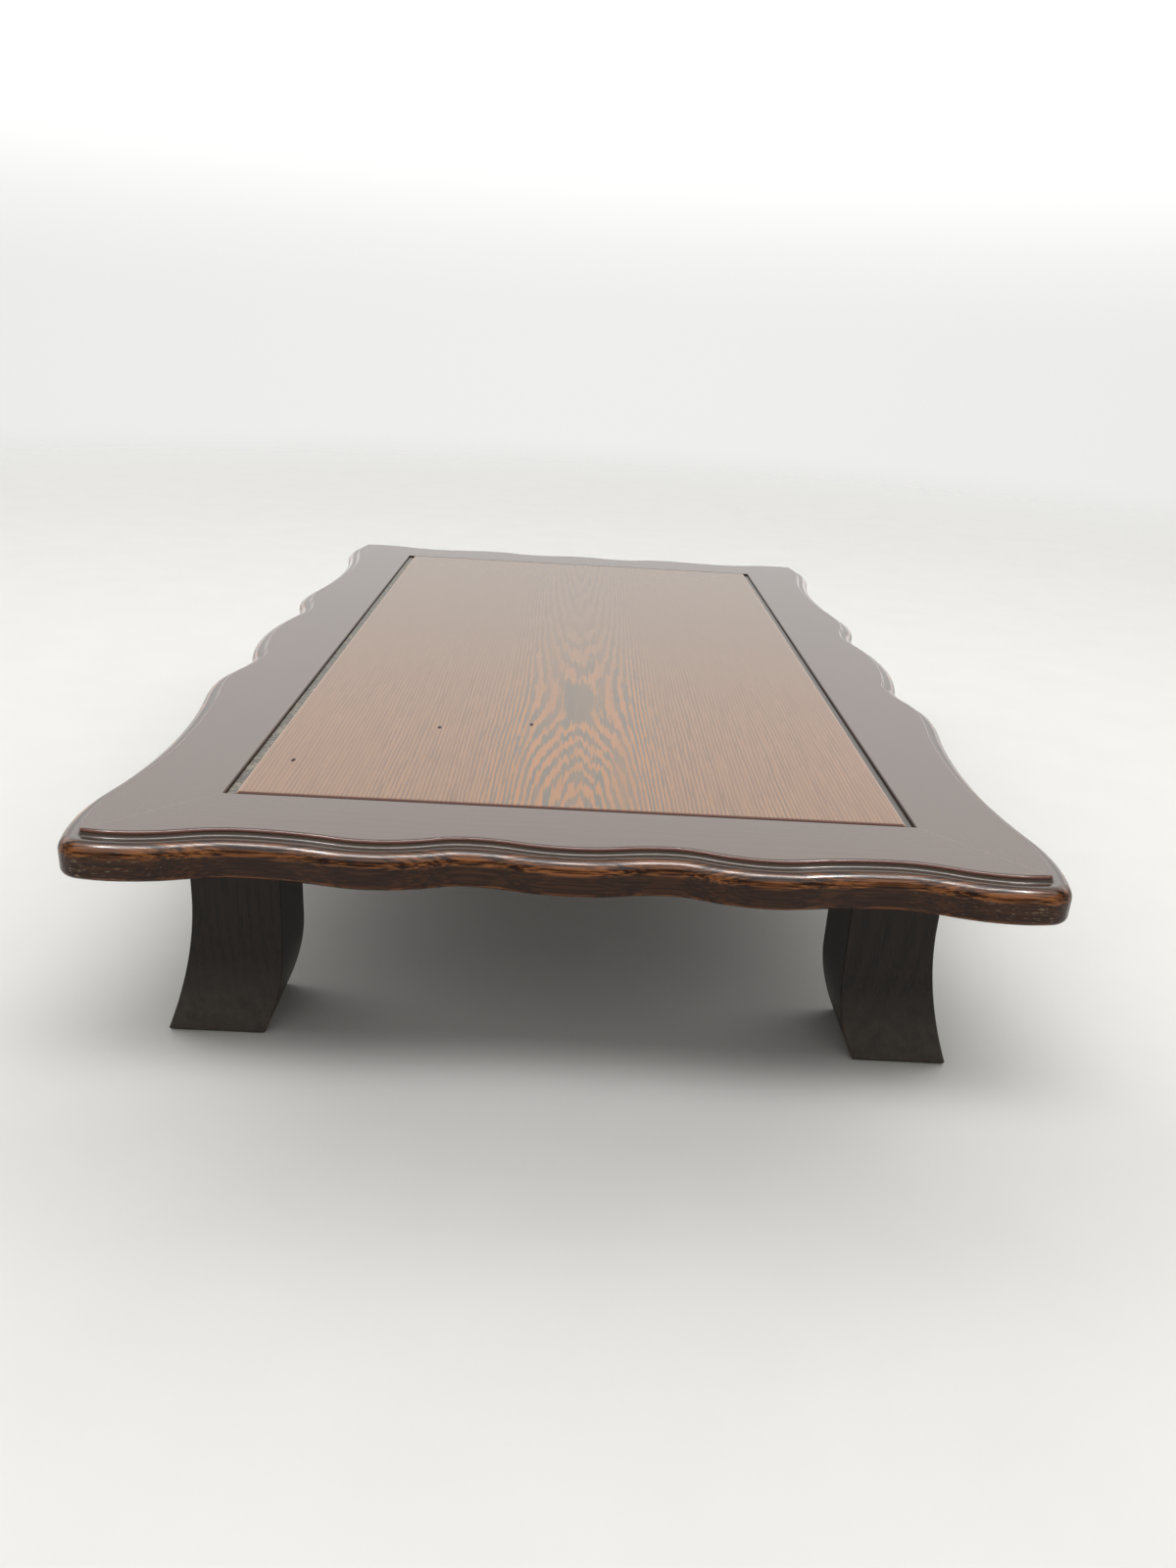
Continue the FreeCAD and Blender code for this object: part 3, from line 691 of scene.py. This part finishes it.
@dataclass(frozen=True)
class LegFinish:
    """Hardwood stained near black and left matt: faint upright grain, brown at the worn edges, and a
    little dust towards the foot. Sizes in millimetres."""

    dark: str = "#140E09"
    pale: str = "#251910"
    dust: str = "#544C42"
    worn: str = "#6A4A30"
    dust_top: float = 34.0
    dust_cloud: Speckle = Speckle(size=6.25, detail=4.0, roughness=0.65)
    wear_patch: Speckle = Speckle(size=8.3333, detail=5.0, roughness=0.7)
    wear_above: float = 0.45  # share of the foot's wear that is left above the dust
    wear_rim: Ramp = Ramp(0.13, 0.3, 0.0, 0.7)
    relief: Relief = Relief(height=0.3, strength=0.15)
    roughness: float = 0.5
    gloss: float = 0.28

    def worn_edges(self, tree: NodeTree, place: NodeSocket) -> NodeSocket:
        """Find the rounded upright edges and break them up.

        Args:
            tree: the node tree.
            place: coordinates in millimetres.

        Returns:
            0 in sound stain, and more where it is rubbed through.
        """
        normal = add_node(tree, "ShaderNodeNewGeometry").outputs["Normal"]
        split = add_node(tree, SEPARATE, links={0: normal})
        corner = add_node(tree, MATH, MULTIPLY, {0: split.outputs["X"], 1: split.outputs["Y"]}).outputs[0]
        corner = add_node(tree, MATH, ABSOLUTE, {0: corner}).outputs[0]
        patches = add_node(tree, NOISE, links=self.wear_patch.links(place)).outputs["Fac"]
        height = add_node(tree, SEPARATE, links={0: place}).outputs["Z"]
        low = add_node(tree, MAP_RANGE,
                       links=Ramp(self.dust_top, 0.0, self.wear_above).links(height)).outputs[0]
        weight = add_node(tree, MATH, MULTIPLY, {0: corner, 1: patches}).outputs[0]
        weight = add_node(tree, MATH, MULTIPLY, {0: weight, 1: low}).outputs[0]
        return add_node(tree, MAP_RANGE, SMOOTH, self.wear_rim.links(weight)).outputs[0]

    def material(self) -> Material:
        """Make the material.

        Returns:
            The finish of the legs.
        """
        material, tree = start_material("black_stained_hardwood_matt")
        place = millimetres(tree)
        grain = Grain(GrainAxis.UP, ring_spacing=3.1, wobble=2.0, wobble_length=120.0, fibre_width=0.5,
                      fibre_length=20.0, fray=5.0, ring_weight=0.35, softness=1.1, pith=(60.0, -90.0))
        lines, fibres = grain.lines(tree, place, grain.rings(tree, place))
        height = add_node(tree, SEPARATE, links={0: place}).outputs["Z"]
        low = add_node(tree, MAP_RANGE, SMOOTH, Ramp(self.dust_top, 0.0).links(height)).outputs[0]
        cloud = add_node(tree, NOISE, links=self.dust_cloud.links(place)).outputs["Fac"]
        dust_and_sheen = add_node(tree, MATH, MULTIPLY, {0: low, 1: cloud}).outputs[0]
        worn = self.worn_edges(tree, place)
        colour: Any = linear(self.dark)
        for mask, shade in ((lines, self.pale), (dust_and_sheen, self.dust), (worn, self.worn)):
            colour = add_node(tree, MIX, COLOURS,
                              {0: mask, COLOUR_A: colour, COLOUR_B: linear(shade)}).outputs[COLOUR_OUT]
        bump = add_node(tree, "ShaderNodeBump", links=self.relief.links(fibres)).outputs[0]
        return finish_material(material, {"Base Color": colour, "Normal": bump, "Roughness": self.roughness,
                                          "Specular IOR Level": self.gloss})


@dataclass(frozen=True)
class CoreFinish:
    """Plywood stained dark, whose face shows in the shadow gaps: sealed and smooth, with grey dust caught
    in the left gap, and soft veneer streaks underneath. Sizes in millimetres."""

    face: float  # height of its face
    dark: str = "#231C17"
    pale: str = "#3A2F26"
    dust: str = "#878172"
    dust_speckle: Speckle = Speckle(size=3.5714, detail=5.0, roughness=0.8)
    dust_rim: Ramp = Ramp(0.47, 0.57, 0.05, 1.0)
    roughness: Ramp = Ramp(0.0, 1.0, 0.85, 0.35)  # from bare or dusty wood to the sealed face
    gloss: float = 0.2

    def material(self) -> Material:
        """Make the material.

        Returns:
            The finish of the core board.
        """
        material, tree = start_material("stained_plywood_sealed")
        place = millimetres(tree)
        grain = Grain(GrainAxis.ALONG, ring_spacing=5.0, wobble=4.0, wobble_length=160.0, fibre_width=0.7,
                      fibre_length=24.0, fray=4.5, ring_weight=0.4, threshold=0.1, softness=0.9,
                      pith=(90.0, -70.0))
        lines, _ = grain.lines(tree, place, grain.rings(tree, place))
        split = add_node(tree, SEPARATE, links={0: place})
        left = add_node(tree, MATH, LESS_THAN, {0: split.outputs["X"], 1: 0.0}).outputs[0]
        specks = add_node(tree, NOISE, links=self.dust_speckle.links(place)).outputs["Fac"]
        caught = add_node(tree, MAP_RANGE, SMOOTH, self.dust_rim.links(specks)).outputs[0]
        dust_and_sheen = add_node(tree, MATH, MULTIPLY, {0: left, 1: caught}).outputs[0]
        on_face = add_node(tree, MATH, GREATER_THAN,
                           {0: split.outputs["Z"], 1: self.face - SKIN}).outputs[0]
        dust_and_sheen = add_node(tree, MATH, MULTIPLY, {0: dust_and_sheen, 1: on_face}).outputs[0]
        colour: Any = linear(self.dark)
        for mask, shade in ((lines, self.pale), (dust_and_sheen, self.dust)):
            colour = add_node(tree, MIX, COLOURS,
                              {0: mask, COLOUR_A: colour, COLOUR_B: linear(shade)}).outputs[COLOUR_OUT]
        sealed = add_node(tree, MATH, SUBTRACT, {0: on_face, 1: dust_and_sheen}).outputs[0]
        rough = add_node(tree, MAP_RANGE, links=self.roughness.links(sealed)).outputs[0]
        return finish_material(material, {"Base Color": colour, "Roughness": rough,
                                          "Specular IOR Level": self.gloss})


@dataclass(frozen=True)
class HiddenWoodFinish:
    """Plain sawn wood or plywood under the top, stained and unpolished: soft streaks and a dull face.
    Sizes in millimetres."""

    name: str
    axis: GrainAxis
    dark: str
    pale: str
    relief: Relief = Relief(height=0.3, strength=0.2)
    roughness: float = 0.6

    def material(self) -> Material:
        """Make the material.

        Returns:
            The finish under its name.
        """
        material, tree = start_material(self.name)
        place = millimetres(tree)
        grain = Grain(self.axis, ring_spacing=4.0, wobble=4.0, wobble_length=160.0, fibre_width=0.6,
                      fibre_length=18.0, fray=2.4, pith=(90.0, -70.0))
        lines, fibres = grain.lines(tree, place, grain.rings(tree, place))
        colour = add_node(tree, MIX, COLOURS,
                          {0: lines, COLOUR_A: linear(self.dark), COLOUR_B: linear(self.pale)})
        bump = add_node(tree, "ShaderNodeBump", links=self.relief.links(fibres)).outputs[0]
        return finish_material(material, {"Base Color": colour.outputs[COLOUR_OUT], "Normal": bump,
                                          "Roughness": self.roughness})


@dataclass(frozen=True)
class ScrewFinish:
    """Steel plated with yellow zinc: a soft metal glow with cloudy patches. Sizes in millimetres."""

    bright: str = "#C9B57A"
    dull: str = "#8F8568"
    cloud: Speckle = Speckle(size=1.1111, detail=3.0)
    roughness: Ramp = Ramp(0.0, 1.0, 0.45, 0.25)  # from dull to bright

    def material(self) -> Material:
        """Make the material.

        Returns:
            The finish of the screws and pins.
        """
        material, tree = start_material("yellow_zinc_plated_steel")
        clouds = add_node(tree, NOISE, links=self.cloud.links(millimetres(tree))).outputs["Fac"]
        colour = add_node(tree, MIX, COLOURS,
                          {0: clouds, COLOUR_A: linear(self.dull), COLOUR_B: linear(self.bright)})
        rough = add_node(tree, MAP_RANGE, links=self.roughness.links(clouds)).outputs[0]
        return finish_material(material, {"Base Color": colour.outputs[COLOUR_OUT], "Roughness": rough,
                                          "Metallic": 1.0})


@dataclass(frozen=True)
class FloorFinish:
    """Board painted pale grey: matt and almost even. It fades out far away and is clear from below."""

    dark: str = "#D9D8D5"
    pale: str = "#DFDEDB"
    speckle: Speckle = Speckle(size=50.0, detail=2.0)
    fade: Ramp = Ramp(2.6, 0.9)  # metres from the middle of the table
    roughness: float = 0.9

    def material(self) -> Material:
        """Make the material.

        Returns:
            The finish of the floor.
        """
        material, tree = start_material("painted_pale_floor")
        speckle = add_node(tree, NOISE, links=self.speckle.links(millimetres(tree))).outputs["Fac"]
        colour = add_node(tree, MIX, COLOURS,
                          {0: speckle, COLOUR_A: linear(self.dark), COLOUR_B: linear(self.pale)})
        place = add_node(tree, "ShaderNodeTexCoord").outputs["Object"]
        away = add_node(tree, VECTOR_MATH, LENGTH, {0: place}).outputs["Value"]
        solid = add_node(tree, MAP_RANGE, SMOOTH, self.fade.links(away)).outputs[0]
        behind = add_node(tree, "ShaderNodeNewGeometry").outputs["Backfacing"]
        shown = add_node(tree, MATH, {**SUBTRACT, "use_clamp": True}, {0: solid, 1: behind}).outputs[0]
        return finish_material(material, {"Base Color": colour.outputs[COLOUR_OUT], "Alpha": shown,
                                          "Roughness": self.roughness})


def apply_finish(names: list[str], material: Material) -> None:
    """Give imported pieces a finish.

    Args:
        names: node names.
        material: the finish.
    """
    for name in names:
        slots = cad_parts[name].data.materials
        slots.clear()
        slots.append(material)
        LOG.info("%s: %s", name, material.name)


@dataclass
class TopFrame:
    """The mitred frame: two long rails and two end rails, with the tongues in their mitres."""

    sides: tuple[str, str] = ("left", "right")
    ends: tuple[str, str] = ("front", "back")

    def dress(self) -> None:
        """Give the rails and tongues their finishes."""
        long_rails = ["long_rail_" + side for side in self.sides]
        end_rails = ["end_rail_" + end for end in self.ends]
        tongues = [f"mitre_spline_{end}_{side}" for end in self.ends for side in self.sides]
        low, high = box_of(long_rails[0])
        core_low, core_high = box_of("panel_core")
        core = core_high - core_low  # less than the opening by the same all round
        sizes = {"top": high.z, "thickness": high.z - low.z, "mitre_offset": (core.y - core.x) / 2}
        tongue = HiddenWoodFinish("birch_plywood_tongue", GrainAxis.ALONG, dark="#7B5F40", pale="#A98A63")
        apply_finish(long_rails, FrameFinish(GrainAxis.ALONG, **sizes).material())
        apply_finish(end_rails, FrameFinish(GrainAxis.ACROSS, **sizes).material())
        apply_finish(tongues, tongue.material())


@dataclass
class CentreBoard:
    """The figured board, the core under it and the battens that stiffen it."""

    battens: tuple[str, ...] = ("front", "middle", "back")

    def dress(self) -> None:
        """Give the boards and battens their finishes."""
        _, core_high = box_of("panel_core")
        batten = HiddenWoodFinish("stained_softwood_batten", GrainAxis.ACROSS,
                                  dark="#4A3422", pale="#6B4E34")
        apply_finish(["panel_face"], FiguredBoardFinish(*box_of("panel_face")).material())
        apply_finish(["panel_core"], CoreFinish(core_high.z).material())
        apply_finish(["cross_batten_" + place for place in self.battens], batten.material())


@dataclass
class Legs:
    """The four flared legs and the screws and pins of the table."""

    corners: tuple[str, ...] = ("front_left", "front_right", "back_left", "back_right")

    def dress(self) -> None:
        """Give the legs, screws and pins their finishes."""
        apply_finish(["leg_" + corner for corner in self.corners], LegFinish().material())
        apply_finish(["leg_screws", "batten_screws", "core_pins"], ScrewFinish().material())


class LampUse(Enum):
    """What a lamp does: it only lights the wood, or only draws light on the lacquer."""

    WOOD = "wood"
    LACQUER = "lacquer"


@dataclass(frozen=True)
class Lamp:
    """A rectangular lamp that faces the table and that the camera doesn't see. Sizes in metres."""

    name: str
    size: tuple[float, float]
    place: tuple[float, float, float]
    power: float  # in watts
    use: LampUse

    def hang(self) -> None:
        """Add the lamp to the scene."""
        light = bpy.data.lights.new(self.name, "AREA")
        light.shape = "RECTANGLE"
        light.size, light.size_y = self.size
        light.energy = self.power
        lamp = bpy.data.objects.new(self.name, light)
        lamp.location = self.place
        lamp.rotation_euler = Vector(self.place).to_track_quat("Z", "Y").to_euler()
        lamp.visible_camera = False
        lamp.visible_diffuse = self.use is LampUse.WOOD
        lamp.visible_glossy = self.use is LampUse.LACQUER
        bpy.context.scene.collection.objects.link(lamp)


@dataclass
class Studio:
    """Floor, light and camera. Sizes in metres, angles in radians, directions as parts of a unit vector."""

    camera_place: tuple[float, float, float] = (-0.00416, -0.66134, 0.27158)
    pitch: float = 0.37968
    yaw: float = 0.02389
    roll: float = -0.05939
    lens: float = 25.99  # in millimetres
    floor_size: float = 16.0
    floor_drop: float = 0.0002
    overhead_place: tuple[float, float, float] = (0.0, -0.42, 1.7)
    soft_size: tuple[float, float] = (1.5, 0.8)
    soft_power: float = 10.0
    strip_size: tuple[float, float] = (1.8, 0.4)
    strip_power: float = 200.0
    glow_place: tuple[float, float, float] = (0.0, -0.5, 1.8)
    glow_size: tuple[float, float] = (3.0, 3.0)
    glow_power: float = 60.0
    edge_place: tuple[float, float, float] = (1.4, 2.1, 0.25)
    edge_size: tuple[float, float] = (1.4, 0.4)
    edge_power: float = 1.6
    light_colour: str = "#FFFFFD"
    wall_strength: Ramp = Ramp(-1.0, 1.0, 0.48, 0.86)  # from behind the camera to ahead of it
    ceiling_from: float = 0.12  # upwards, where the walls begin to dim
    ceiling_full: float = 0.45
    ceiling_strength: float = 0.28
    backdrop_strength: float = 3.2
    backdrop_ahead: Ramp = Ramp(0.05, 0.45)  # forwards
    backdrop_climb: Ramp = Ramp(0.0, 0.42)  # upwards
    backdrop_bend: float = 2.0  # more keeps the foot of the backdrop dim for longer
    backdrop_head: Ramp = Ramp(0.66, 0.8, 1.0, 0.0)  # upwards, where it ends

    def add_floor(self) -> None:
        """Lay the floor."""
        bpy.ops.object.select_all(action="DESELECT")
        bpy.ops.mesh.primitive_plane_add(size=self.floor_size, location=(0, 0, -self.floor_drop))
        floor = bpy.context.object
        floor.name = "floor"
        floor.data.materials.append(FloorFinish().material())

    def add_world(self) -> None:
        """Set the room: pale walls all round, a dim ceiling and a backdrop that brightens upwards ahead."""
        world = bpy.data.worlds.new("studio")
        bpy.context.scene.world = world
        world.use_nodes = True
        tree = world.node_tree
        tree.nodes.clear()
        direction = add_node(tree, "ShaderNodeTexCoord").outputs["Generated"]
        split = add_node(tree, SEPARATE, links={0: direction})
        forward, upward = split.outputs["Y"], split.outputs["Z"]
        wall = add_node(tree, MAP_RANGE, links=self.wall_strength.links(forward)).outputs[0]
        room = add_node(tree, MAP_RANGE, SMOOTH,
                        {"Value": upward, "From Min": self.ceiling_from, "From Max": self.ceiling_full,
                         "To Min": wall, "To Max": self.ceiling_strength}).outputs[0]
        ahead = add_node(tree, MAP_RANGE, SMOOTH, self.backdrop_ahead.links(forward)).outputs[0]
        climb = add_node(tree, MAP_RANGE, links=self.backdrop_climb.links(upward)).outputs[0]
        climb = add_node(tree, MATH, POWER, {0: climb, 1: self.backdrop_bend}).outputs[0]
        below = add_node(tree, MAP_RANGE, SMOOTH, self.backdrop_head.links(upward)).outputs[0]
        band = add_node(tree, MATH, MULTIPLY, {0: climb, 1: below}).outputs[0]
        band = add_node(tree, MATH, MULTIPLY, {0: band, 1: ahead}).outputs[0]
        strength = add_node(tree, MIX, VALUES,
                            {0: band, VALUE_A: room, VALUE_B: self.backdrop_strength}).outputs[0]
        light = add_node(tree, "ShaderNodeBackground",
                         links={"Color": linear(self.light_colour), "Strength": strength})
        add_node(tree, "ShaderNodeOutputWorld", links={"Surface": light.outputs[0]})

    def add_lamps(self) -> None:
        """Hang a soft lamp, a strip and a wide glow over the table, and a strip low on each side ahead."""
        x, y, z = self.edge_place
        for lamp in (
            Lamp("overhead_soft", self.soft_size, self.overhead_place, self.soft_power, LampUse.WOOD),
            Lamp("overhead_strip", self.strip_size, self.overhead_place, self.strip_power, LampUse.LACQUER),
            Lamp("overhead_glow", self.glow_size, self.glow_place, self.glow_power, LampUse.LACQUER),
            Lamp("edge_strip_left", self.edge_size, (-x, y, z), self.edge_power, LampUse.LACQUER),
            Lamp("edge_strip_right", self.edge_size, (x, y, z), self.edge_power, LampUse.LACQUER),
        ):
            lamp.hang()

    def add_camera(self) -> None:
        """Set the camera where the picture was taken from."""
        ahead = Vector((math.sin(self.yaw) * math.cos(self.pitch),
                        math.cos(self.yaw) * math.cos(self.pitch), -math.sin(self.pitch)))
        level = Vector((math.cos(self.yaw), -math.sin(self.yaw), 0.0))
        drop = ahead.cross(level)
        right = level * math.cos(self.roll) + drop * math.sin(self.roll)
        up = level * math.sin(self.roll) - drop * math.cos(self.roll)
        data = bpy.data.cameras.new("camera")
        data.lens = self.lens
        camera = bpy.data.objects.new("camera", data)
        axes = Matrix((right, up, -ahead)).transposed().to_4x4()
        camera.matrix_world = Matrix.Translation(self.camera_place) @ axes
        bpy.context.scene.collection.objects.link(camera)
        bpy.context.scene.camera = camera

    def build(self) -> None:
        """Make the whole studio."""
        bpy.context.scene.view_settings.view_transform = "Standard"
        self.add_floor()
        self.add_world()
        self.add_lamps()
        self.add_camera()


def main() -> None:
    """Dress the table and set up the studio."""
    logging.basicConfig(level=logging.INFO)
    Studio().build()
    TopFrame().dress()
    CentreBoard().dress()
    Legs().dress()


if __name__ == "__main__":
    main()
